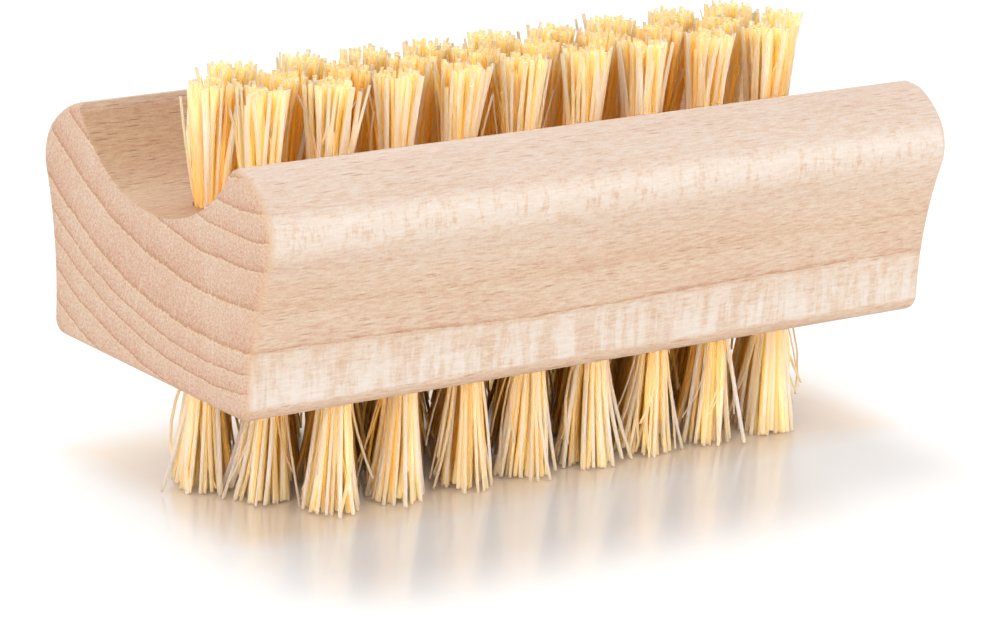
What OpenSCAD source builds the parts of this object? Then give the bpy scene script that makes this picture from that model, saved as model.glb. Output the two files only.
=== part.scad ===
// Double-sided wooden nail brush: a beech block with a scrubbing field of
// fibre tufts underneath and a narrower field in the channel on top.
// X runs along the block, Y across it, Z up. Z = 0 is the plane of the
// lower tips, on which the brush stands.

/* [View] */
// Piece to show, or all of them

/* [Block] */
// Length of the block
block_l = 95; // [86:1:120]
// Width across the lower sides
base_w = 39.6; // [36:0.2:44]
// Height of the block
block_h = 27.6; // [25:0.2:32]
// Radius of the two long lower edges, as a share of the height
edge_share = 0.069; // [0.036:0.001:0.094]
// Height at which the side starts to curve out, as a share of the height
waist_share = 0.101; // [0.095:0.001:0.18]
// How far the shoulder swells past the lower side, as a share of the height
swell_share = 0.112; // [0.072:0.001:0.13]
// Radius of the hollow waist, as a share of the height
waist_r_share = 1.67; // [1.38:0.01:1.95]
// Radius of the swollen shoulder, as a share of the height
shoulder_r_share = 0.21; // [0.165:0.001:0.23]
// Radius of the rounded top of each wall, as a share of the height
crown_r_share = 0.362; // [0.33:0.001:0.43]

/* [Channel] */
// Width of the channel between its two sharp edges, as a share of the width
channel_w_share = 0.783; // [0.735:0.001:0.83]
// Depth of the channel at its middle, as a share of the height
channel_d_share = 0.319; // [0.255:0.001:0.34]

/* [Tufts] */
// Pitch of the tufts along a row
tuft_pitch = 8.8; // [8.4:0.05:9]
// Tufts in the longest row, in both fields
row_count = 10; // [8:1:10]
// Spacing of the rows underneath, as a share of the width
lower_row_share = 0.159; // [0.15:0.001:0.168]
// Spacing of the rows on top, as a share of the channel's width
upper_row_share = 0.1645; // [0.158:0.0005:0.18]
// Shift of the outer rows on top along the block, the front row to one side
// and the back row to the other, as a share of the pitch
upper_shift_share = 0.16; // [0:0.01:0.2]
// Length of the lower bristles outside the wood
lower_bristle_l = 14; // [10:0.5:20]
// Length of the upper bristles above the channel floor
upper_bristle_l = 14; // [11:0.5:20]
// Width of a lower tuft at its tips, as a share of its distance to the next
lower_spread_share = 0.9; // [0.66:0.01:0.93]
// Width of an upper tuft at its tips, as a share of its distance to the next
upper_spread_share = 0.9; // [0.82:0.005:0.93]

/* [Holes] */
// Diameter of the drilled tuft holes
hole_d = 4.2; // [4:0.1:4.4]
// Depth of the drilled tuft holes, as a share of the wood under the channel
hole_depth_share = 0.372; // [0.32:0.001:0.4]
// Gap between a tuft and the wall of its hole
fit_gap = 0.05; // [0.03:0.01:0.1]

/* [Wire anchors] */
// Length of the flat wire anchor across the hole
anchor_l = 5.4; // [5:0.1:6]
// Height of the anchor along the hole
anchor_h = 1.6; // [1:0.1:2]
// Thickness of the anchor
anchor_t = 0.4; // [0.3:0.05:0.6]
// Fibre folded under the anchor at the end of the hole
fold_t = 1; // [0.8:0.1:1.4]

/* [Strands] */
// Width of a strand where it leaves the wood
strand_root_w = 0.9; // [0.8:0.05:0.95]
// Width of a strand at its tip
strand_tip_w = 1.2; // [0.9:0.05:1.3]
// Height of the bound neck of a tuft above the wood
neck_h = 1; // [0.8:0.1:1.6]

/* [Hidden] */
// Half sizes of the section and centres of its arcs
half_w = base_w / 2;
edge_r = block_h * edge_share;
waist_z = block_h * waist_share;
swell = block_h * swell_share;
waist_r = block_h * waist_r_share;
shoulder_r = block_h * shoulder_r_share;
crown_r = block_h * crown_r_share;
channel_w = base_w * channel_w_share;
channel_d = block_h * channel_d_share;
half_channel = channel_w / 2;
shoulder_y = half_w + swell - shoulder_r;
shoulder_z = waist_z + sqrt(pow(waist_r + shoulder_r, 2)
                            - pow(waist_r + shoulder_r - swell, 2));
channel_r = (pow(half_channel, 2) + pow(channel_d, 2)) / (2 * channel_d);
channel_z = block_h - channel_d + channel_r;
// Angle at which the shoulder hands over to the waist, below the horizontal
waist_a = atan2(shoulder_z - waist_z, waist_r + shoulder_r - swell);
// Angle at which the shoulder hands over to the crown, above the horizontal
crown_step = crown_r - shoulder_r;
edge_y = half_channel - shoulder_y;
edge_z = block_h - shoulder_z;
edge_reach = norm([edge_y, edge_z]);
crown_a = atan2(edge_z, edge_y)
        - acos((crown_r * crown_r - crown_step * crown_step
                - edge_reach * edge_reach) / (2 * crown_step * edge_reach));
crown_y = shoulder_y - crown_step * cos(crown_a);
crown_z = shoulder_z - crown_step * sin(crown_a);
crown_end_a = atan2(block_h - crown_z, half_channel - crown_y);

// Rows of each field, counted from the middle row, their spacing and the
// width of their tufts at the tips
lower_rows = [-2, -1, 0, 1, 2];
upper_rows = [-1, 0, 1];
lower_row_gap = base_w * lower_row_share;
upper_row_gap = channel_w * upper_row_share;
upper_shift = tuft_pitch * upper_shift_share;
lower_tip_d = norm([lower_row_gap, tuft_pitch / 2]) * lower_spread_share;
upper_tip_d = norm([upper_row_gap, tuft_pitch / 2 - upper_shift])
              * upper_spread_share;
hole_depth = (block_h - channel_d) * hole_depth_share;

// Round pieces: sides of drilled holes, and the largest angle and the
// longest flat of an arc of the section
hole_sides = 16;
arc_step = 6;
arc_flat = 2;
channel_sides = 96;

// Strands of a tuft: one upright in the middle and a ring round it
ring_count = 5;
// How far a strand's root reaches down inside the neck, and how far it stays
// inside the neck's edge
root_sink = 0.6;
root_inset = 0.2;
// How much the spread of single strands differs, as shares of the ring
spread_shares = [1, 0.93, 1.04, 0.9, 0.98];
// Turn of each next tuft, so that no two neighbours look alike
tuft_turn = 137.5;

// Overrun of a cut past the face that it opens
over = 0.5;

// Levels of the whole brush
wood_z = lower_bristle_l;
plug_r = hole_d / 2 - fit_gap;

wood_colour = "#E3C3A2";
fibre_colour = "#EBCB86";
wire_colour = "#B9BCC0";

// Points along an arc from angle a to angle b
function arc(y, z, r, a, b) =
    let (length = r * abs(b - a) * PI / 180,
         n = max(2, ceil(abs(b - a) / arc_step), ceil(length / arc_flat)))
    [for (i = [0 : n]) let (t = a + (b - a) * i / n)
        [y + r * cos(t), z + r * sin(t)]];

// Tufts in a row and their places along it: each row outwards has one less
function in_row(row) = row_count - abs(row);
function tuft_x(row, i) = (i - (in_row(row) - 1) / 2) * tuft_pitch;

// Height of the channel floor above the block's underside at a distance y
function floor_z(y) = channel_z - sqrt(channel_r * channel_r - y * y);

// Outline of one half of the section, from the lower edge up the side and
// over the wall to the edge of the channel
half_outline = concat(
    arc(half_w - edge_r, edge_r, edge_r, -90, 0),
    arc(half_w + waist_r, waist_z, waist_r, 180, 180 - waist_a),
    arc(shoulder_y, shoulder_z, shoulder_r, -waist_a, crown_a),
    arc(crown_y, crown_z, crown_r, crown_a, crown_end_a));

// Section of the block, both halves, with the channel taken out
module section() difference() {
    polygon(concat(half_outline,
                   [for (i = [len(half_outline) - 1 : -1 : 0])
                       [-half_outline[i][0], half_outline[i][1]]]));
    translate([0, channel_z]) circle(channel_r, $fn = channel_sides);
}

// Lays a flat drawing of the section along the length of the block
module along_block(length) {
    rotate([90, 0, 90]) linear_extrude(length, center = true) children();
}

// Puts its children at the mouth of each hole of a row, with +Z out of the
// hole: underneath for side = -1, in the channel for side = 1
module at_holes(side, row) {
    y = row * (side < 0 ? lower_row_gap : upper_row_gap);
    shift = row * (side < 0 ? 0 : upper_shift);
    for (i = [0 : in_row(row) - 1])
        translate([tuft_x(row, i) + shift, y,
                   wood_z + (side < 0 ? 0 : floor_z(abs(y)))])
            mirror([0, 0, side < 0 ? 1 : 0]) {
                $tuft = i + row_count * (row + len(lower_rows)
                                         + max(side, 0) * len(lower_rows));
                children();
            }
}

// Space that one tuft and its anchor need in the wood
module tuft_hole() {
    translate([0, 0, -hole_depth])
        cylinder(h = hole_depth + over + channel_d, d = hole_d,
                 $fn = hole_sides);
    translate([0, 0, fold_t - hole_depth + anchor_h / 2])
        cube([anchor_l + 2 * fit_gap, anchor_t + 2 * fit_gap, anchor_h],
             center = true);
}

// One four-sided strand from the neck to the tip plane. It leans out from
// the middle of its tuft in the direction a, by root and then tip.
module strand(a, root, tip, length) {
    foot_z = neck_h - root_sink;
    ring = [for (k = [0 : 3]) [cos(45 + 90 * k), sin(45 + 90 * k)] / sqrt(2)];
    points = concat(
        [for (p = ring) [root + p[0] * strand_root_w,
                         p[1] * strand_root_w, foot_z]],
        [for (p = ring) [tip + p[0] * strand_tip_w,
                         p[1] * strand_tip_w, length]]);
    rotate(a) polyhedron(points, [
        [0, 1, 2], [0, 2, 3],
        [4, 6, 5], [4, 7, 6],
        for (k = [0 : 3]) let (n = (k + 1) % 4) each
            [[k, k + 4, n + 4], [k, n + 4, n]]]);
}

// One tuft: the bundle folded in its hole, bound as far as the neck, and the
// strands that fan out of it. Its anchor passes through the fold.
module tuft(length, tip_d) {
    root_ring = sqrt(pow(plug_r - root_inset, 2)
                     - pow(strand_root_w / 2, 2)) - strand_root_w / 2;
    tip_ring = (tip_d - strand_tip_w) / 2;
    difference() {
        translate([0, 0, -hole_depth])
            cylinder(h = hole_depth + neck_h, r = plug_r, $fn = hole_sides);
        translate([0, 0, fold_t - hole_depth + anchor_h / 2])
            cube([hole_d, anchor_t + 2 * fit_gap, anchor_h + 2 * fit_gap],
                 center = true);
    }
    rotate($tuft * tuft_turn) {
        strand(0, 0, 0, length);
        for (k = [0 : ring_count - 1])
            strand(k * 360 / ring_count, root_ring,
                   tip_ring * spread_shares[(k + $tuft) % ring_count],
                   length);
    }
}

// The block: the section drawn along its length, with every hole drilled
module beech_block() color(wood_colour) difference() {
    translate([0, 0, wood_z]) along_block(block_l) section();
    for (row = lower_rows) at_holes(-1, row) tuft_hole();
    for (row = upper_rows) at_holes(1, row) tuft_hole();
}

module lower_tufts(row) color(fibre_colour)
    at_holes(-1, row) tuft(lower_bristle_l, lower_tip_d);

module upper_tufts(row) color(fibre_colour)
    at_holes(1, row)
        tuft(upper_bristle_l + floor_z(0) - floor_z(row * upper_row_gap),
             upper_tip_d);

// Flat wire anchors of one row, driven across the fold into the wood
module anchors(side, row) color(wire_colour)
    at_holes(side, row)
        translate([0, 0, fold_t - hole_depth + anchor_h / 2])
            cube([anchor_l, anchor_t, anchor_h], center = true);

beech_block();
lower_tufts(-2);  // lower_tufts_1
lower_tufts(-1);  // lower_tufts_2
lower_tufts(0);  // lower_tufts_3
lower_tufts(1);  // lower_tufts_4
lower_tufts(2);  // lower_tufts_5
upper_tufts(-1);  // upper_tufts_1
upper_tufts(0);  // upper_tufts_2
upper_tufts(1);  // upper_tufts_3
anchors(-1, -2);  // lower_anchors_1
anchors(-1, -1);  // lower_anchors_2
anchors(-1, 0);  // lower_anchors_3
anchors(-1, 1);  // lower_anchors_4
anchors(-1, 2);  // lower_anchors_5
anchors(1, -1);  // upper_anchors_1
anchors(1, 0);  // upper_anchors_2
anchors(1, 1);  // upper_anchors_3
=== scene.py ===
import math
import random

import bmesh
import bpy
from mathutils import Matrix, Vector


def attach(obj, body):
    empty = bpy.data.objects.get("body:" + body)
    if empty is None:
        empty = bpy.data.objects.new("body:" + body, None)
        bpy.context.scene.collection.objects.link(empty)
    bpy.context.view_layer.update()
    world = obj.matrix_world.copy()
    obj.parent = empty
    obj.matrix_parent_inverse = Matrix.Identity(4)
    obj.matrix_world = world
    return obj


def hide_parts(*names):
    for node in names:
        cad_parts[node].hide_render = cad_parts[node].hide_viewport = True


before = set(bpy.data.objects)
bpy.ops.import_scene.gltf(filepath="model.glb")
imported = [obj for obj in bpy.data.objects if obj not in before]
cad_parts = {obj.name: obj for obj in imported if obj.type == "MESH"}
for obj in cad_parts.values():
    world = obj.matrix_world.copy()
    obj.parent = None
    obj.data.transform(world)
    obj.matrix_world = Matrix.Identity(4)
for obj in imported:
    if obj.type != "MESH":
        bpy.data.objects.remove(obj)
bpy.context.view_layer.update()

# The camera: a long lens on a low stand, 37 degrees round from the front of
# the brush towards its near end, and tipped a little on its own axis. The
# turns, the distance and the lens come from the outline of the block.
MM = 0.001
stand_turn = math.radians(37.15)
stand_rise = math.radians(16.43)
camera_tip = math.radians(2.87)
stand_distance = 580.05 * MM
aimed_at = Vector((0, 0, 30 * MM))
aim_aside, aim_above = 0.56 * MM, 14.25 * MM
lens_mm, sensor_mm = 184.16, 36.0
nearest_seen = 10 * MM

sight = Vector((math.sin(stand_turn) * math.cos(stand_rise),
                math.cos(stand_turn) * math.cos(stand_rise),
                -math.sin(stand_rise)))
level = Vector((math.cos(stand_turn), -math.sin(stand_turn), 0))
upright = level.cross(sight)
across = level * math.cos(camera_tip) + upright * math.sin(camera_tip)
above = upright * math.cos(camera_tip) - level * math.sin(camera_tip)

camera = bpy.data.objects.new("camera", bpy.data.cameras.new("camera"))
bpy.context.collection.objects.link(camera)
camera.data.lens = lens_mm
camera.data.sensor_width = sensor_mm
camera.data.clip_start = nearest_seen
place = Matrix((across, above, -sight)).transposed().to_4x4()
place.translation = (aimed_at - across * aim_aside - above * aim_above
                     - sight * stand_distance)
camera.matrix_world = place
bpy.context.scene.camera = camera

# The block: steamed beech, planed to a section with a hollow waist, a swollen
# shoulder and a channel on top, cut to length and drilled for the tufts. Its
# ends are eased by hand, and two corners rubbed down. Sizes are in mm.
block_l, base_w, block_h = 95.0, 39.6, 27.6
wood_z = 14.0
lower_edge_r = 0.069 * block_h
waist_z = 0.101 * block_h
swell = 0.112 * block_h
waist_r = 1.67 * block_h
shoulder_r = 0.21 * block_h
crown_r = 0.362 * block_h
channel_w, channel_d = 0.783 * base_w, 0.319 * block_h
eased_near_end, eased_far_end, eased_channel = 1.3, 0.9, 0.4
end_cuts, lip_cuts = 4, 2
corner_drop, corner_reach = 0.7, 3.0
hole_d, hole_depth, hole_sides = 4.2, 7.0, 20
tuft_pitch, longest_row = 8.8, 10
lower_rows, upper_rows = range(-2, 3), range(-1, 2)
lower_gap, upper_gap = 0.159 * base_w, 0.1645 * channel_w
upper_shift = 0.16 * tuft_pitch
same_place = 0.01 * MM
crease = math.radians(34)

half_w, half_channel = base_w / 2, channel_w / 2
shoulder_y = half_w + swell - shoulder_r
shoulder_z = waist_z + math.sqrt((waist_r + shoulder_r) ** 2
                                 - (waist_r + shoulder_r - swell) ** 2)
waist_turn = math.atan2(shoulder_z - waist_z, waist_r + shoulder_r - swell)
channel_r = (half_channel ** 2 + channel_d ** 2) / (2 * channel_d)
channel_z = block_h - channel_d + channel_r
crown_step = crown_r - shoulder_r
edge_y, edge_z = half_channel - shoulder_y, block_h - shoulder_z
edge_reach = math.hypot(edge_y, edge_z)
crown_turn = math.atan2(edge_z, edge_y) - math.acos(
    (crown_r ** 2 - crown_step ** 2 - edge_reach ** 2)
    / (2 * crown_step * edge_reach))
crown_y = shoulder_y - crown_step * math.cos(crown_turn)
crown_z = shoulder_z - crown_step * math.sin(crown_turn)
crown_end = math.atan2(block_h - crown_z, half_channel - crown_y)
lip_turn = math.atan2(block_h - channel_z, half_channel)


def floor_z(y):
    """Height of the channel's floor above the tabletop, at y across."""
    return wood_z + channel_z - math.sqrt(channel_r ** 2 - y * y)


def tuft_places(side, row):
    """Mouths of a row's holes, in mm; side is -1 underneath, 1 on top."""
    count = longest_row - abs(row)
    y = row * (lower_gap if side < 0 else upper_gap)
    z = wood_z if side < 0 else floor_z(y)
    shift = 0 if side < 0 else row * upper_shift
    return [Vector(((i - (count - 1) / 2) * tuft_pitch + shift, y, z))
            for i in range(count)]


def keep_object(bm, name):
    """Makes a mesh object of finished work, with its place in the mesh."""
    mesh = bpy.data.meshes.new(name)
    bm.to_mesh(mesh)
    bm.free()
    made = bpy.data.objects.new(name, mesh)
    bpy.context.collection.objects.link(made)
    return made


def draw_arc(bm, last, centre_y, centre_z, turn, steps):
    """Draws the section's outline on from its last point, along an arc."""
    drawn = bmesh.ops.spin(
        bm, geom=[last], cent=(last.co.x, centre_y * MM, (wood_z + centre_z) * MM),
        axis=(1, 0, 0), angle=turn, steps=steps)
    return [v for v in drawn["geom_last"] if isinstance(v, bmesh.types.BMVert)][0]


def draw_line(bm, last, y, z):
    """Draws the section's outline on from its last point, straight."""
    point = bm.verts.new((last.co.x, y * MM, (wood_z + z) * MM))
    bm.edges.new((last, point))
    return point


bm = bmesh.new()
pen = bm.verts.new((-block_l / 2 * MM, 0, wood_z * MM))
pen = draw_line(bm, pen, half_w - lower_edge_r, 0)
pen = draw_arc(bm, pen, half_w - lower_edge_r, lower_edge_r, math.pi / 2, 6)
pen = draw_line(bm, pen, half_w, waist_z)
pen = draw_arc(bm, pen, half_w + waist_r, waist_z, -waist_turn, 12)
pen = draw_arc(bm, pen, shoulder_y, shoulder_z, waist_turn + crown_turn, 12)
pen = draw_arc(bm, pen, crown_y, crown_z, crown_end - crown_turn, 6)
pen = draw_arc(bm, pen, 0, channel_z, -math.pi / 2 - lip_turn, 16)
bmesh.ops.mirror(bm, geom=bm.verts[:] + bm.edges[:], axis="Y",
                 merge_dist=same_place)
bmesh.ops.remove_doubles(bm, verts=bm.verts[:], dist=same_place)
end_grain = bmesh.ops.contextual_create(bm, geom=bm.edges[:])["faces"][0]
length = bmesh.ops.extrude_face_region(bm, geom=[end_grain])
bmesh.ops.translate(bm, vec=(block_l * MM, 0, 0), verts=[
    v for v in length["geom"] if isinstance(v, bmesh.types.BMVert)])
bmesh.ops.recalc_face_normals(bm, faces=bm.faces[:])


def lies_on_lip(edge):
    """Is this long edge one of the channel's two upper edges?"""
    a, b = edge.verts
    return (abs(a.co.x - b.co.x) > block_l / 2 * MM
            and abs(abs(a.co.y) - half_channel * MM) < same_place
            and abs(a.co.z - (wood_z + block_h) * MM) < same_place)


def lies_round_end(edge, end, inside):
    """Is this edge on an end's outline, inside the channel or outside it?"""
    middle = (edge.verts[0].co + edge.verts[1].co) / 2
    return (abs(middle.x - end * block_l / 2 * MM) < same_place
            and inside == (abs(middle.y) < half_channel * MM
                           and middle.z > (wood_z + block_h / 2) * MM))


for end, inside, width, cuts in (
        (-1, False, eased_near_end, end_cuts), (1, False, eased_far_end, end_cuts),
        (-1, True, eased_channel, lip_cuts), (1, True, eased_channel, lip_cuts)):
    bmesh.ops.bevel(
        bm, geom=[e for e in bm.edges if lies_round_end(e, end, inside)],
        offset=width * MM, offset_type="OFFSET", segments=cuts, profile=0.5,
        affect="EDGES", material=-1)
bmesh.ops.bevel(bm, geom=[e for e in bm.edges if lies_on_lip(e)],
                offset=eased_channel * MM, offset_type="OFFSET",
                segments=lip_cuts, profile=0.5, affect="EDGES", material=-1)
for v in bm.verts:
    off_corner = math.hypot(v.co.x / MM - block_l / 2,
                            abs(v.co.y) / MM - half_channel)
    if off_corner < corner_reach and v.co.z > (wood_z + block_h / 2) * MM:
        v.co.z -= corner_drop * (1 - off_corner / corner_reach) ** 2 * MM
bmesh.ops.triangulate(bm, faces=[f for f in bm.faces if len(f.verts) > 4])
block = keep_object(bm, "beech_block_turned")

bm = bmesh.new()
for side, rows, stands_out in ((-1, lower_rows, 2.0), (1, upper_rows, 4.0)):
    for row in rows:
        for mouth in tuft_places(side, row):
            reach = hole_depth + stands_out
            middle = mouth + Vector((0, 0, -side * (hole_depth - reach / 2)))
            bmesh.ops.create_cone(
                bm, cap_ends=True, segments=hole_sides, radius1=hole_d / 2 * MM,
                radius2=hole_d / 2 * MM, depth=reach * MM,
                matrix=Matrix.Translation(middle * MM))
drill = keep_object(bm, "drill")
drilling = block.modifiers.new("drilling", "BOOLEAN")
drilling.object = drill
drilling.operation = "DIFFERENCE"
drilling.solver = "EXACT"
bpy.context.view_layer.objects.active = block
bpy.ops.object.modifier_apply(modifier="drilling")
bpy.data.objects.remove(drill)
block.data.shade_smooth()
block.data.set_sharp_from_angle(angle=crease)
block.modifiers.new("flat faces stay flat", "WEIGHTED_NORMAL").keep_sharp = True


def linear(hex_colour):
    """The linear colour of an sRGB hex value."""
    parts = [int(hex_colour[i:i + 2], 16) / 255 for i in (1, 3, 5)]
    return [c / 12.92 if c <= 0.04045 else ((c + 0.055) / 1.055) ** 2.4
            for c in parts] + [1.0]


def node(tree, kind, sockets, stops=(), **settings):
    """Adds a node; a socket is set to a value or linked to another node.

    Each stop of a colour ramp is a place and a hex colour or grey level."""
    made = tree.nodes.new("ShaderNode" + kind)
    for name, value in settings.items():
        setattr(made, name, value)
    for key, value in sockets.items():
        if isinstance(value, bpy.types.Node):
            value = next(o for o in value.outputs if o.enabled)
        if isinstance(value, bpy.types.NodeSocket):
            tree.links.new(value, made.inputs[key])
        else:
            made.inputs[key].default_value = value
    for _ in stops[2:]:
        made.color_ramp.elements.new(0.5)
    for i, (at, shade) in enumerate(stops):
        made.color_ramp.elements[i].position = at
        made.color_ramp.elements[i].color = (
            linear(shade) if isinstance(shade, str) else (shade,) * 3 + (1.0,))
    return made


def fresh_material(name):
    """An empty material, its node tree and its output node."""
    material = bpy.data.materials.new(name)
    material.use_nodes = True
    material.node_tree.nodes.clear()
    return material, material.node_tree, node(
        material.node_tree, "OutputMaterial", {})


# Steamed beech, planed and sanded, without varnish. The pith lay above the
# front edge of the block, so growth rings run level along the front and climb
# to the back. The rays are thin plates that stand in planes through the pith:
# cut along they show as pale flecks, cut across as short brown dashes, and
# on the end grain as fine pale lines. Sizes of patterns are in mm: along the
# grain, round the pith and out from it.
pith_y, pith_z = -14.0, 88.4
ring_radii = [42.0, 45.0, 48.2, 51.4, 54.4, 57.9, 62.4, 67.2, 69.6, 71.9,
              74.8, 78.0, 81.0]
mean_radius, dark_year = ring_radii[6], ring_radii[7]
grain_slope = 0.0075
drift_mm, drift_reach = (45.5, 14.3, 14.3), (0.0, 1.6, 2.2)
noise_middle = (0.5, 0.5, 0.5)

# In a Mix node, socket 7 goes over socket 6 by the share in socket 0: as
# paint does, or as a shade, which darkens below half grey and lightens above.
painted = {"data_type": "RGBA"}
shaded = {"data_type": "RGBA", "blend_type": "OVERLAY"}

beech, tree, beech_out = fresh_material("steamed beech, sanded")
place_mm = node(tree, "VectorMath", {
    0: node(tree, "TexCoord", {}).outputs["Object"], "Scale": 1 / MM},
    operation="SCALE")
drift = node(tree, "TexNoise", {
    "Vector": node(tree, "VectorMath", {0: place_mm, 1: drift_mm},
                   operation="DIVIDE"),
    "Scale": 1.0, "Detail": 2.0})
drifted = node(tree, "VectorMath", {
    0: node(tree, "VectorMath", {0: drift.outputs["Color"], 1: noise_middle},
            operation="SUBTRACT"),
    1: drift_reach, 2: place_mm}, operation="MULTIPLY_ADD")
climb = node(tree, "Math", {
    0: node(tree, "SeparateXYZ", {0: place_mm}), 1: grain_slope,
    2: grain_slope * block_l / 2}, operation="MULTIPLY_ADD")
sloped = node(tree, "VectorMath", {
    0: drifted, 1: node(tree, "CombineXYZ", {"Z": climb})}, operation="ADD")
from_pith = node(tree, "VectorMath", {0: sloped, 1: (0.0, -pith_y, -pith_z)},
                 operation="ADD")
spot = node(tree, "SeparateXYZ", {0: from_pith})
outwards = node(tree, "VectorMath", {0: from_pith, 1: (0, 1, 1)},
                operation="MULTIPLY")
radius = node(tree, "VectorMath", {0: outwards}, operation="LENGTH")
radial = node(tree, "VectorMath", {0: outwards}, operation="NORMALIZE")
below_pith = node(tree, "Math", {0: spot.outputs["Z"], 1: -1.0},
                  operation="MULTIPLY")
angle = node(tree, "Math", {0: spot.outputs["Y"], 1: below_pith},
             operation="ARCTAN2")
round_pith = node(tree, "Math", {0: angle, 1: mean_radius},
                  operation="MULTIPLY")
grain = node(tree, "CombineXYZ", {"X": spot.outputs["X"], "Y": round_pith,
                                  "Z": radius})

# Growth rings: each is pale where the spring began and darkens outwards to a
# thin brown line where the year ended. A curve turns the radius into years.
uneven_mm, uneven_years = (10.0, 0.625, 2.0), 0.18
years, ring_reach = len(ring_radii) - 1, ring_radii[-1] - ring_radii[0]
year_curve = node(tree, "FloatCurve", {"Value": node(tree, "MapRange", {
    0: radius, 1: ring_radii[0], 2: ring_radii[-1]})})
curve = year_curve.mapping.curves[0]
for i in range(1, years):
    curve.points.new((ring_radii[i] - ring_radii[0]) / ring_reach, i / years)
for point in curve.points:
    point.handle_type = "VECTOR"
year_curve.mapping.update()
uneven = node(tree, "TexNoise", {
    "Vector": node(tree, "VectorMath", {0: grain, 1: uneven_mm},
                   operation="DIVIDE"),
    "Scale": 1.0, "Detail": 3.0, "Roughness": 0.7})
year_count = node(tree, "Math", {
    0: node(tree, "Math", {0: year_curve, 1: float(years)},
            operation="MULTIPLY"),
    1: node(tree, "Math", {0: uneven, 1: uneven_years},
            operation="MULTIPLY")}, operation="ADD")
year = node(tree, "Math", {0: year_count}, operation="FRACT")
side_wood = node(tree, "ValToRGB", {0: year}, stops=[
    (0.0, "#E1C1A5"), (0.25, "#E4C6AB"), (0.8, "#E2C2A7"), (1.0, "#DFBC9F")])
end_wood = node(tree, "ValToRGB", {0: year}, stops=[
    (0.0, "#F1CFAC"), (0.06, "#E9C7AC"), (0.5, "#E5C1A6"), (0.84, "#DFB599"),
    (0.96, "#CB9A7A"), (1.0, "#F1CFAC")])

# How the surface lies in the wood: sawn across as end grain, or along it.
side_until, end_from = 0.45, 0.85
face = node(tree, "NewGeometry", {}).outputs["Normal"]
face_x = node(tree, "Math", {0: node(tree, "SeparateXYZ", {0: face})},
              operation="ABSOLUTE")
end_face = node(tree, "MapRange", {0: face_x, 1: side_until, 2: end_from},
                interpolation_type="SMOOTHSTEP")
along_grain = node(tree, "Math", {0: 1.0, 1: end_face}, operation="SUBTRACT")
wood = node(tree, "Mix", {0: end_face, 6: side_wood, 7: end_wood}, **painted)

# Where a year ended, a broken brown line; one year of the front ended darker.
line_from, line_full = 0.86, 0.98
dark_near, dark_gone, dark_share, other_share = 0.6, 1.2, 0.8, 0.06
broken_mm, broken_from, broken_full = (2.5, 2.5, 0.4), 0.35, 0.6
broken = node(tree, "TexNoise", {
    "Vector": node(tree, "VectorMath", {0: grain, 1: broken_mm},
                   operation="DIVIDE"),
    "Scale": 1.0, "Detail": 3.0, "Roughness": 0.7})
off_dark_year = node(tree, "Math", {
    0: node(tree, "Math", {0: radius, 1: dark_year}, operation="SUBTRACT")},
    operation="ABSOLUTE")
late_wood = node(tree, "MapRange", {0: year, 1: line_from, 2: line_full},
                 interpolation_type="SMOOTHSTEP")
how_dark = node(tree, "MapRange", {
    0: off_dark_year, 1: dark_near, 2: dark_gone, 3: dark_share,
    4: other_share})
unbroken = node(tree, "MapRange", {0: broken, 1: broken_from, 2: broken_full})
year_end = node(tree, "Math", {
    0: node(tree, "Math", {0: late_wood, 1: how_dark}, operation="MULTIPLY"),
    1: unbroken}, operation="MULTIPLY")
wood = node(tree, "Mix", {
    0: node(tree, "Math", {0: year_end, 1: along_grain},
            operation="MULTIPLY"),
    6: wood, 7: linear("#C48E62")}, **painted)

# Along the top of the walls, nearest the pith, the wood is painted paler and
# pinker: a painted sheen, where the crown catches the light.
crown_sheen_from, crown_sheen_full, crown_sheen_share = 53.5, 49.5, 0.6
painted_crown_sheen = node(tree, "Math", {
    0: node(tree, "MapRange", {0: radius, 1: crown_sheen_from, 2: crown_sheen_full}),
    1: along_grain}, operation="MULTIPLY")
wood = node(tree, "Mix", {
    0: node(tree, "Math", {0: painted_crown_sheen, 1: crown_sheen_share}, operation="MULTIPLY"),
    6: wood, 7: linear("#EBD5C6")}, **painted)

# The channel was cut by a round cutter. Its floor is painted darker and redder:
# painted shade, where the walls and the tufts shade it.
channel_outside, channel_inside = half_channel + 0.1, half_channel - 0.8
facing_up, channel_shade_share = 0.3, 0.6
off_middle = node(tree, "Math", {
    0: node(tree, "SeparateXYZ", {0: place_mm}).outputs["Y"]},
    operation="ABSOLUTE")
between_lips = node(tree, "MapRange", {0: off_middle, 1: channel_outside,
                                       2: channel_inside})
upwards = node(tree, "MapRange", {
    0: node(tree, "SeparateXYZ", {0: face}).outputs["Z"], 1: 0.0,
    2: facing_up})
in_channel = node(tree, "Math", {
    0: node(tree, "Math", {0: between_lips, 1: upwards},
            operation="MULTIPLY"),
    1: along_grain}, operation="MULTIPLY")
wood = node(tree, "Mix", {
    0: node(tree, "Math", {0: in_channel, 1: channel_shade_share},
            operation="MULTIPLY"),
    6: wood, 7: linear("#D3A173")}, **painted)


def ray_cut(lengths, thin, thick):
    """Where the rays are cut, as far apart and as long as lengths in mm."""
    rays = node(tree, "TexVoronoi", {
        "Vector": node(tree, "VectorMath", {0: grain, 1: lengths},
                       operation="DIVIDE"),
        "Scale": 1.0})
    return node(tree, "MapRange", {0: rays, 1: thick, 2: thin},
                interpolation_type="SMOOTHSTEP")
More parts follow.
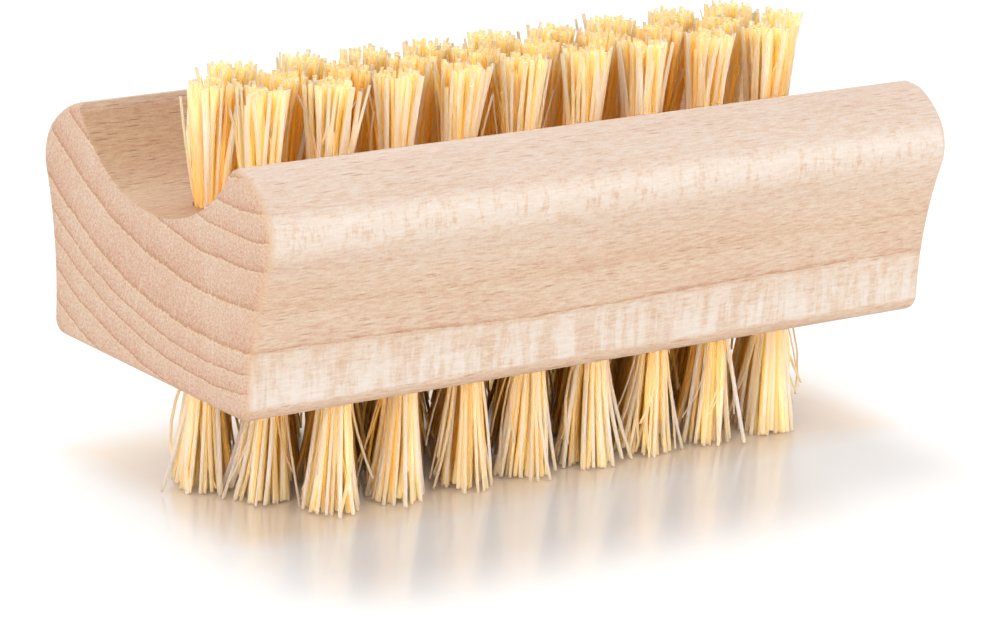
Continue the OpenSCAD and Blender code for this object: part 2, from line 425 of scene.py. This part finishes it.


# Cut along: pale flecks. They lie closest along the shoulder, whose wood is
# nearest the pith, and stand apart along the lower edge. Fine gaps part them on
# the shoulder. Between the flecks the band is also painted evenly paler, and along
# the shoulder it is widened: that part is a painted sheen.
fleck_mm, fleck_from, fleck_full = (1.6, 0.9, 30.0), 0.38, 0.6
tick_mm, tick_from, tick_full = (0.6, 0.5, 1.8), 0.3, 0.7
tick_least, tick_most = -0.12, 0.3
near_from, near_full = 61.0, 57.0
cut_along, cut_across_low, cut_across_shoulder_sheen = 0.05, 0.34, 0.75
flecks_in, flecks_out, far_flecks = dark_year + 0.1, dark_year - 0.3, 0.25
sheen_between_flecks, low_fleck, high_fleck = 0.22, 0.9, 0.66
near_pith = node(tree, "MapRange", {0: radius, 1: near_from, 2: near_full})
fleck = node(tree, "TexNoise", {
    "Vector": node(tree, "VectorMath", {0: grain, 1: fleck_mm},
                   operation="DIVIDE"),
    "Scale": 1.0, "Detail": 4.0, "Roughness": 0.7})
tick = node(tree, "TexNoise", {
    "Vector": node(tree, "VectorMath", {0: grain, 1: tick_mm},
                   operation="DIVIDE"),
    "Scale": 1.0, "Detail": 2.0, "Roughness": 0.6})
finer = node(tree, "Math", {0: near_pith, 1: node(tree, "MapRange", {
    0: tick, 1: tick_from, 2: tick_full, 3: tick_least, 4: tick_most})},
    operation="MULTIPLY")
fleck_here = node(tree, "MapRange", {
    0: node(tree, "Math", {0: fleck, 1: finer}, operation="ADD"),
    1: fleck_from, 2: fleck_full}, interpolation_type="SMOOTHSTEP")
seen_slant = node(tree, "Math", {
    0: node(tree, "VectorMath", {0: face, 1: radial},
            operation="DOT_PRODUCT")}, operation="ABSOLUTE")
flat_sawn = node(tree, "MapRange", {
    0: seen_slant, 1: cut_along, 2: node(tree, "MapRange", {
        0: near_pith, 3: cut_across_low, 4: cut_across_shoulder_sheen})},
    interpolation_type="SMOOTHSTEP")
in_fleck_years = node(tree, "Math", {0: near_pith, 1: node(tree, "MapRange", {
    0: radius, 1: flecks_out, 2: flecks_in, 3: far_flecks, 4: 1.0})},
    operation="MAXIMUM")
quarter_sawn_and_sheen = node(tree, "Math", {
    0: node(tree, "Math", {0: along_grain, 1: in_fleck_years},
            operation="MULTIPLY"),
    1: node(tree, "Math", {0: 1.0, 1: flat_sawn}, operation="SUBTRACT")},
    operation="MULTIPLY")
how_pale_with_sheen = node(tree, "MapRange", {
    0: fleck_here, 3: sheen_between_flecks, 4: node(tree, "MapRange", {
        0: near_pith, 3: low_fleck, 4: high_fleck})})
wood = node(tree, "Mix", {
    0: node(tree, "Math", {0: how_pale_with_sheen, 1: quarter_sawn_and_sheen},
            operation="MULTIPLY"),
    6: wood, 7: linear("#F3E7DB")}, **painted)

# Cut across: brown dashes, longer and clearer the squarer they are cut.
square_from, square_full = 0.4, 0.75
dash_mm, dash_thin, dash_thick = (5.2, 0.3, 1.1), 0.08, 0.26
slant_dash_mm, slant_thick = (4.0, 0.11, 1.2), 0.28
outside_dash, channel_dash = 0.72, 0.85
cut_square = node(tree, "MapRange", {0: seen_slant, 1: square_from,
                                     2: square_full})
dash = node(tree, "Math", {
    0: node(tree, "MapRange", {
        0: cut_square, 3: ray_cut(slant_dash_mm, dash_thin, slant_thick),
        4: ray_cut(dash_mm, dash_thin, dash_thick)}),
    1: node(tree, "Math", {0: flat_sawn, 1: along_grain},
            operation="MULTIPLY")}, operation="MULTIPLY")
dash_wood = node(tree, "Mix", {0: in_channel, 6: linear("#BF8F6B"),
                               7: linear("#94683F")}, **painted)
dash_share = node(tree, "MapRange", {0: in_channel, 3: outside_dash,
                                     4: channel_dash})
wood = node(tree, "Mix", {
    0: node(tree, "Math", {0: dash, 1: dash_share}, operation="MULTIPLY"),
    6: wood, 7: dash_wood}, **painted)

# Seen from their ends: fine pale lines on the end grain.
line_mm, line_thin, line_thick, line_share = (3.0, 0.36, 12.0), 0.1, 0.26, 0.5
wood = node(tree, "Mix", {
    0: node(tree, "Math", {
        0: ray_cut(line_mm, line_thin, line_thick),
        1: node(tree, "Math", {0: end_face, 1: line_share},
                operation="MULTIPLY")}, operation="MULTIPLY"),
    6: wood, 7: linear("#F4DCC4")}, **painted)

# Fine fibre: streaks along the grain, specks and red pores on the end grain,
# drawn as coarse as they need to show, and broad clouds all over.
streak_mm, streak_share = (1.8, 0.28, 0.28), 0.75
speck_mm, side_speck, end_speck = 0.24, 0.25, 0.55
pore_from, pore_full, pore_share = 0.48, 0.36, 0.4
cloud_mm, cloud_share = (20.0, 6.25, 6.25), 0.35
streak = node(tree, "TexNoise", {
    "Vector": node(tree, "VectorMath", {0: grain, 1: streak_mm},
                   operation="DIVIDE"),
    "Scale": 1.0, "Detail": 4.0, "Roughness": 0.75})
speck = node(tree, "TexNoise", {"Vector": place_mm, "Scale": 1 / speck_mm,
                                "Detail": 3.0, "Roughness": 0.75})
cloud = node(tree, "TexNoise", {
    "Vector": node(tree, "VectorMath", {0: grain, 1: cloud_mm},
                   operation="DIVIDE"),
    "Scale": 1.0, "Detail": 2.0})
wood = node(tree, "Mix", {
    0: streak_share, 6: wood,
    7: node(tree, "ValToRGB", {0: streak}, stops=[
        (0.34, 0.32), (0.5, 0.5), (0.66, 0.65)])}, **shaded)
wood = node(tree, "Mix", {
    0: node(tree, "MapRange", {0: end_face, 3: side_speck, 4: end_speck}),
    6: wood,
    7: node(tree, "ValToRGB", {0: speck}, stops=[
        (0.32, 0.3), (0.5, 0.51), (0.68, 0.7)])}, **shaded)
pore = node(tree, "MapRange", {0: speck, 1: pore_from, 2: pore_full,
                               4: pore_share})
wood = node(tree, "Mix", {
    0: node(tree, "Math", {0: end_face, 1: pore}, operation="MULTIPLY"),
    6: wood, 7: linear("#D2906C")}, **painted)
wood = node(tree, "Mix", {
    0: cloud_share, 6: wood,
    7: node(tree, "ValToRGB", {0: cloud}, stops=[
        (0.35, 0.42), (0.65, 0.56)])}, **shaded)

# The eased edges of the ends are sanded ends of fibres: warmer and uneven.
ease_from, ease_in, ease_out, ease_gone = 0.12, 0.45, 0.75, 0.98
ease_speck_from, ease_speck_full, ease_least, ease_most = 0.35, 0.6, 0.1, 0.6
eased_edge = node(tree, "Math", {
    0: node(tree, "MapRange", {0: face_x, 1: ease_from, 2: ease_in}),
    1: node(tree, "MapRange", {0: face_x, 1: ease_gone, 2: ease_out})},
    operation="MULTIPLY")
how_warm = node(tree, "MapRange", {
    0: speck, 1: ease_speck_from, 2: ease_speck_full, 3: ease_least,
    4: ease_most})
wood = node(tree, "Mix", {
    0: node(tree, "Math", {0: eased_edge, 1: how_warm}, operation="MULTIPLY"),
    6: wood, 7: linear("#E8BC92")}, **painted)

# Sanded wood has a soft sheen; streaks stand up and dashes lie sunk a little.
dash_sunk, grain_relief = -0.5, 0.06 * MM
relief = node(tree, "Math", {
    0: streak, 1: node(tree, "Math", {0: dash, 1: dash_sunk},
                       operation="MULTIPLY")}, operation="ADD")
beech_shader = node(tree, "BsdfPrincipled", {
    "Base Color": wood, "Roughness": 0.45, "IOR": 1.5,
    "Normal": node(tree, "Bump", {"Height": relief, "Strength": 0.25,
                                  "Distance": grain_relief})})
tree.links.new(beech_shader.outputs[0], beech_out.inputs[0])
block.data.materials.append(beech)
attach(block, "root")
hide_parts("beech_block")

# The wire anchors: short flat pieces of tinned steel wire, driven across the
# fold of each tuft at the bottom of its hole. They keep the shape they have.
# The marks of the drawing die run along them, drawn coarse enough to show.
die_mark = (3.3 * MM, 0.11 * MM, 0.11 * MM)
wire, tree, wire_out = fresh_material("tinned flat steel wire")
drawn = node(tree, "TexNoise", {
    "Vector": node(tree, "VectorMath", {
        0: node(tree, "TexCoord", {}).outputs["Object"], 1: die_mark},
        operation="DIVIDE"),
    "Scale": 1.0})
wire_shader = node(tree, "BsdfPrincipled", {
    "Base Color": linear("#C9CBCD"), "Metallic": 1.0,
    "Roughness": node(tree, "MapRange", {0: drawn, 3: 0.28, 4: 0.45})})
tree.links.new(wire_shader.outputs[0], wire_out.inputs[0])
for name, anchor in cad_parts.items():
    if "anchors" in name:
        anchor.data.materials.clear()
        anchor.data.materials.append(wire)

# The tufts: cut lengths of pale plant fibre, folded over the anchor, so that
# about fifty stand in a hole. They leave the wood tightly packed, fan out to
# the trimmed tips and stray a little. A row is one piece. Sizes are in mm.
fibre_count, fibre_r = (50, 56), (0.19, 0.32)
fibre_sides, fibre_cuts = 6, 4
fibre_flat, fibre_taper = (0.75, 1.0), 0.12
fibre_flare = 0.4
root_r, root_sunk = 1.58, 1.2
golden_turn, turn_slip = math.radians(137.5), 0.15

# A tuft leans a little and its tips wander; a few fibres are splayed, worn
# short or bent.
fibre_lean, fibre_wander, fibre_bow, fibre_short = 0.2, 0.18, 0.16, 0.26
fan_share, wide_fan_share, wide_fan_odds = (0.88, 1.06), (1.15, 1.5), 0.07
worn_short, worn_odds = (0.5, 2.0), 0.04
bent_times, bent_odds = 3, 0.08

# Painted light and shade: the fibres on the outside of the field are painted pale
# as if lit, those deeper in it and in the heart of each tuft golden as if shaded
# by the fibres around them.
field_shade_from, field_shade_over, field_shade_depth, tone_slip = 1.1, 0.9, 0.85, 0.16
heart_from, heart_over, heart_shade = 0.85, 0.1, 0.52

# Thin strays stand out of each tuft, most of them along its row. They are painted
# more golden: painted shade, like that deep in the field.
stray_count, stray_r, stray_bow = (5, 8), (0.1, 0.2), 0.6
stray_spread, stray_reach = (0.85, 1.5), (0.6, 0.98)
stray_across, stray_shade = 0.6, 0.4

# The bundle is the part of a tuft that is packed into its hole.
bundle_r, bundle_sides, bundle_sunk, bundle_shade = 2.0, 16, 0.5, 0.2
fibre_crease = math.radians(62)

bm = bmesh.new()
bmesh.ops.create_cone(bm, cap_ends=True, segments=fibre_sides, radius1=1,
                      radius2=1, depth=1,
                      matrix=Matrix.Translation((0, 0, 0.5)))
bmesh.ops.subdivide_edges(
    bm, cuts=fibre_cuts,
    edges=[e for e in bm.edges
           if abs(e.verts[0].co.z - e.verts[1].co.z) > 0.5])
one_fibre = bpy.data.meshes.new("one fibre")
bm.to_mesh(one_fibre)
bm.free()


def lay_fibre(bm, layers, shade, root, tip, bow, thick, chance):
    """Adds one fibre from root to tip, bowed in between, its ends level."""
    tint_and_shade, along = layers
    first = len(bm.verts)
    bm.from_mesh(one_fibre)
    bm.verts.ensure_lookup_table()
    turn = chance.uniform(0, math.tau)
    flat = chance.uniform(*fibre_flat)
    cos, sin = math.cos(turn), math.sin(turn)
    for v in bm.verts[first:]:
        x, y, t = v.co
        centre = root.lerp(tip, t * (1 - fibre_flare * (1 - t)))
        centre.z = root.z + (tip.z - root.z) * t
        centre += bow * (4 * t * (1 - t))
        wide = thick * (1 - fibre_taper * t)
        v.co = (centre + Vector((cos * x - sin * y * flat,
                                 sin * x + cos * y * flat, 0)) * wide) * MM
        v[tint_and_shade] = shade
        v[along] = t


def painted_field_light(tip, edge, spread):
    """Painted light on a fibre: 1 on the outside of the field, less deeper in it,
    where it is painted golden as if shaded.
    """
    deep = min(edge.x - abs(tip.x), edge.y - abs(tip.y)) / spread
    return 1 - field_shade_depth * min(max(deep - field_shade_from, 0) / field_shade_over, 1)


def level_slip(chance, amount):
    """A slip to any side; the amount is its spread along each axis."""
    return Vector((chance.gauss(0, amount), chance.gauss(0, amount), 0))


def stand_tuft(bm, layers, mouth, edge, side, reach, spread, count, chance):
    """Adds the fibres of one tuft, packed at the wood, fanned at the tips."""
    lean = level_slip(chance, fibre_lean)
    spin = chance.uniform(0, math.tau)
    for k in range(count):
        turn = spin + k * golden_turn + chance.gauss(0, turn_slip)
        out = math.sqrt((k + 0.5) / count)
        course = Vector((math.cos(turn), math.sin(turn), 0))
        root = mouth + course * out * root_r
        root.z -= side * root_sunk
        fan = spread * out * chance.uniform(*fan_share)
        if chance.random() < wide_fan_odds:
            fan *= chance.uniform(*wide_fan_share)
        tip = mouth + course * fan + level_slip(chance, fibre_wander) + lean
        short = abs(chance.gauss(0, fibre_short))
        if chance.random() < worn_odds:
            short += chance.uniform(*worn_short)
        tip.z += side * (reach - short)
        bow = level_slip(chance, fibre_bow)
        if chance.random() < bent_odds:
            bow *= bent_times
        heart = min(max((heart_from - out) / heart_over, 0), 1)
        shade = (painted_field_light(tip, edge, spread) + chance.gauss(0, tone_slip)
                 - heart_shade * heart)
        lay_fibre(bm, layers, shade, root, tip, bow,
                  chance.uniform(*fibre_r), chance)


def add_strays(bm, layers, mouth, edge, side, reach, spread, chance):
    """Adds the thin fibres that stand out of a tuft, more along its row."""
    for _ in range(chance.randint(*stray_count)):
        turn = chance.uniform(0, math.tau)
        course = Vector((math.cos(turn), stray_across * math.sin(turn), 0))
        root = mouth + course * root_r
        root.z -= side * root_sunk
        tip = mouth + course * spread * chance.uniform(*stray_spread)
        tip += Vector((0, 0, side * reach * chance.uniform(*stray_reach)))
        bow = level_slip(chance, stray_bow)
        lay_fibre(bm, layers, painted_field_light(tip, edge, spread) - stray_shade, root,
                  tip, bow, chance.uniform(*stray_r), chance)


def stand_row(name, side, row, reach, spread, seed):
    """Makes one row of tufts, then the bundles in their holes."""
    chance = random.Random(seed)
    bm = bmesh.new()
    layers = (bm.verts.layers.float.new("tint_and_shade"),
              bm.verts.layers.float.new("along"))
    last_row = 2 * lower_gap if side < 0 else upper_gap
    edge = Vector((tuft_places(side, row)[-1].x + spread, last_row + spread))
    for mouth in tuft_places(side, row):
        stand_tuft(bm, layers, mouth, edge, side, reach, spread,
                   chance.randint(*fibre_count), chance)
        add_strays(bm, layers, mouth, edge, side, reach, spread, chance)
    for mouth in tuft_places(side, row):
        bundle = bmesh.ops.create_cone(
            bm, cap_ends=True, segments=bundle_sides, radius1=bundle_r * MM,
            radius2=bundle_r * MM, depth=(hole_depth - bundle_sunk) * MM,
            matrix=Matrix.Translation((mouth - Vector(
                (0, 0, side * (hole_depth + bundle_sunk) / 2))) * MM))
        for v in bundle["verts"]:
            v[layers[0]] = bundle_shade
    made = keep_object(bm, name)
    made.data.shade_smooth()
    made.data.set_sharp_from_angle(angle=fibre_crease)
    return made


# Plant fibre, cut and not dyed: cream, with a soft gloss, and painted more golden
# where light would have passed through several fibres: painted shade. The cut tips
# are duller, and the roots are painted golden: painted shade near the wood. The
# lines along it are drawn coarse enough to show.
fibre_line = (0.154 * MM, 0.154 * MM, 3.85 * MM)
line_shade = 0.4
tip_from, tip_full, tip_dull = 0.78, 0.98, 0.8
root_shade_until, root_shade = 0.65, 0.45
light_reach = 1.5 * MM
fibre, tree, fibre_out = fresh_material("pale plant fibre")
tint_and_shade = node(tree, "Attribute", {}, attribute_name="tint_and_shade").outputs["Fac"]
along = node(tree, "Attribute", {}, attribute_name="along").outputs["Fac"]
# The ramp runs from golden, painted shade, to cream, painted light; the random
# slip in between is the fibres' own tone.
straw = node(tree, "ValToRGB", {0: tint_and_shade}, stops=[
    (0.0, "#F8C258"), (0.25, "#F6C76A"), (0.5, "#F2D49C"), (0.75, "#F0DEC0"),
    (1.0, "#EFE4D8")])
lines = node(tree, "TexNoise", {
    "Vector": node(tree, "VectorMath", {
        0: node(tree, "TexCoord", {}).outputs["Object"], 1: fibre_line},
        operation="DIVIDE"),
    "Scale": 1.0, "Detail": 2.0})
straw = node(tree, "Mix", {
    0: line_shade, 6: straw,
    7: node(tree, "ValToRGB", {0: lines}, stops=[(0.3, 0.4), (0.7, 0.6)])},
    **shaded)
straw = node(tree, "Mix", {
    0: node(tree, "MapRange", {0: along, 1: tip_from, 2: tip_full,
                               4: tip_dull}),
    6: straw, 7: linear("#EEDCB8")}, **painted)
# Painted shade: near the wood, under the block, the fibres turn golden.
straw = node(tree, "Mix", {
    0: node(tree, "MapRange", {0: along, 1: root_shade_until, 2: 0.0,
                               4: root_shade}),
    6: straw, 7: linear("#F7C568")}, **painted)
fibre_shader = node(tree, "BsdfPrincipled", {
    "Base Color": straw, "Roughness": 0.42, "IOR": 1.5,
    "Specular IOR Level": 0.35,
    "Subsurface Weight": 0.9, "Subsurface Radius": (1.3, 1.15, 0.42),
    "Subsurface Scale": light_reach}, subsurface_method="BURLEY")
tree.links.new(fibre_shader.outputs[0], fibre_out.inputs[0])

# Five rows underneath, wide and splayed. The brush stands on their tips.
lower_spread, lower_seed = 3.6, 40
for i, row in enumerate(lower_rows):
    tufts = stand_row(f"underside_fibres_{i + 1}", -1, row, wood_z,
                      lower_spread, lower_seed + i)
    tufts.data.materials.append(fibre)
    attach(tufts, "root")
    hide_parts(f"lower_tufts_{i + 1}")

# Three rows in the channel, closer and more upright, trimmed level.
upper_reach, upper_spread, upper_seed = 14.0, 3.0, 60
for i, row in enumerate(upper_rows):
    rise = floor_z(row * upper_gap) - floor_z(0)
    tufts = stand_row(f"channel_fibres_{i + 1}", 1, row, upper_reach - rise,
                      upper_spread, upper_seed + i)
    tufts.data.materials.append(fibre)
    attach(tufts, "root")
    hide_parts(f"upper_tufts_{i + 1}")

# The tabletop: a sheet of white acrylic with a soft gloss, wide enough to fill the
# picture. It is not part of the brush. It mirrors the brush close by and turns to
# plain white further off. Under the brush it is painted warmer: painted light,
# bounced off the fibres.
half_sheet = 3000 * MM
mirror_short, mirror_nearer = 22.0, (0, -10 * MM, 0)
mirror_mm, mirror_fade_mm = (block_l - mirror_short, base_w), 19.0
mirror_ior, plain_ior = 2.2, 1.15
mirror_glow, plain_glow = 0.02, 0.24
warm_bounce_mm, warm_bounce_fade_mm = (86.0, 32.0), 6.0

bm = bmesh.new()
bmesh.ops.create_grid(bm, x_segments=1, y_segments=1, size=half_sheet)
tabletop = keep_object(bm, "tabletop")
acrylic, tree, acrylic_out = fresh_material("white acrylic sheet")


def off_oblong(size_mm, centre):
    """Distance in mm from an oblong on the tabletop about a centre."""
    spot = node(tree, "VectorMath", {
        0: node(tree, "TexCoord", {}).outputs["Object"], 1: centre},
        operation="SUBTRACT")
    spot_mm = node(tree, "VectorMath", {0: spot, "Scale": 1 / MM},
                   operation="SCALE")
    one_quarter = node(tree, "VectorMath", {0: spot_mm}, operation="ABSOLUTE")
    beyond = node(tree, "VectorMath", {
        0: one_quarter, 1: (size_mm[0] / 2, size_mm[1] / 2, 0)},
        operation="SUBTRACT")
    outside = node(tree, "VectorMath", {0: beyond, 1: (0, 0, 0)},
                   operation="MAXIMUM")
    return node(tree, "VectorMath", {0: outside}, operation="LENGTH")


away = node(tree, "MapRange", {0: off_oblong(mirror_mm, mirror_nearer),
                               1: 0.0, 2: mirror_fade_mm},
            interpolation_type="SMOOTHSTEP")
painted_warm_bounce = node(tree, "MapRange", {0: off_oblong(warm_bounce_mm, (0, 0, 0)),
                                   1: 0.0, 2: warm_bounce_fade_mm, 3: 1.0,
                                   4: 0.0})
acrylic_shader = node(tree, "BsdfPrincipled", {
    "Base Color": node(tree, "Mix", {0: painted_warm_bounce, 6: linear("#FCFCFC"),
                                     7: linear("#FBE9D3")}, **painted),
    "Roughness": 0.2,
    "IOR": node(tree, "MapRange", {0: away, 3: mirror_ior, 4: plain_ior})})
glow_level = node(tree, "MapRange", {0: away, 3: mirror_glow, 4: plain_glow})
glow = node(tree, "Emission", {
    "Color": (1, 1, 1, 1), "Strength": node(tree, "Math", {
        0: node(tree, "LightPath", {}).outputs["Is Camera Ray"],
        1: glow_level}, operation="MULTIPLY")})
lit = node(tree, "AddShader", {0: acrylic_shader, 1: glow})
tree.links.new(lit.outputs[0], acrylic_out.inputs[0])
tabletop.data.materials.append(acrylic)

# The light: a white room, a soft box in front on the right that draws a sheen
# along the shoulder, one on the left for the end grain and one behind, above.
# Each lamp has its place and its size in metres, and its power in watts.
room_light, room_seen = 0.66, 1.0
lit_middle = Vector((0, 0, 25 * MM))
soft_boxes = [("soft box, right", (0.65, -0.92, 0.3), 0.6, 3.6),
              ("soft box, left", (-1.0, -0.5, 0.5), 0.8, 4.2),
              ("soft box, back", (0.3, 0.7, 1.0), 0.8, 3.5)]

world = bpy.data.worlds.new("white room")
bpy.context.scene.world = world
world.use_nodes = True
tree = world.node_tree
tree.nodes.clear()
light_path = node(tree, "LightPath", {})
seen = node(tree, "Math", {
    0: light_path.outputs["Is Camera Ray"],
    1: light_path.outputs["Is Glossy Ray"]}, operation="MAXIMUM")
room = node(tree, "Background", {
    "Color": (1, 1, 1, 1),
    "Strength": node(tree, "MapRange", {0: seen, 3: room_light,
                                        4: room_seen})})
tree.links.new(room.outputs[0], node(tree, "OutputWorld", {}).inputs[0])

for name, hung_at, size, watts in soft_boxes:
    lamp = bpy.data.lights.new(name, "AREA")
    lamp.size = size
    lamp.energy = watts
    hung = bpy.data.objects.new(name, lamp)
    bpy.context.collection.objects.link(hung)
    hung.location = hung_at
    hung.rotation_euler = (lit_middle - Vector(hung_at)).to_track_quat(
        "-Z", "Y").to_euler()

bpy.context.scene.view_settings.view_transform = "Standard"
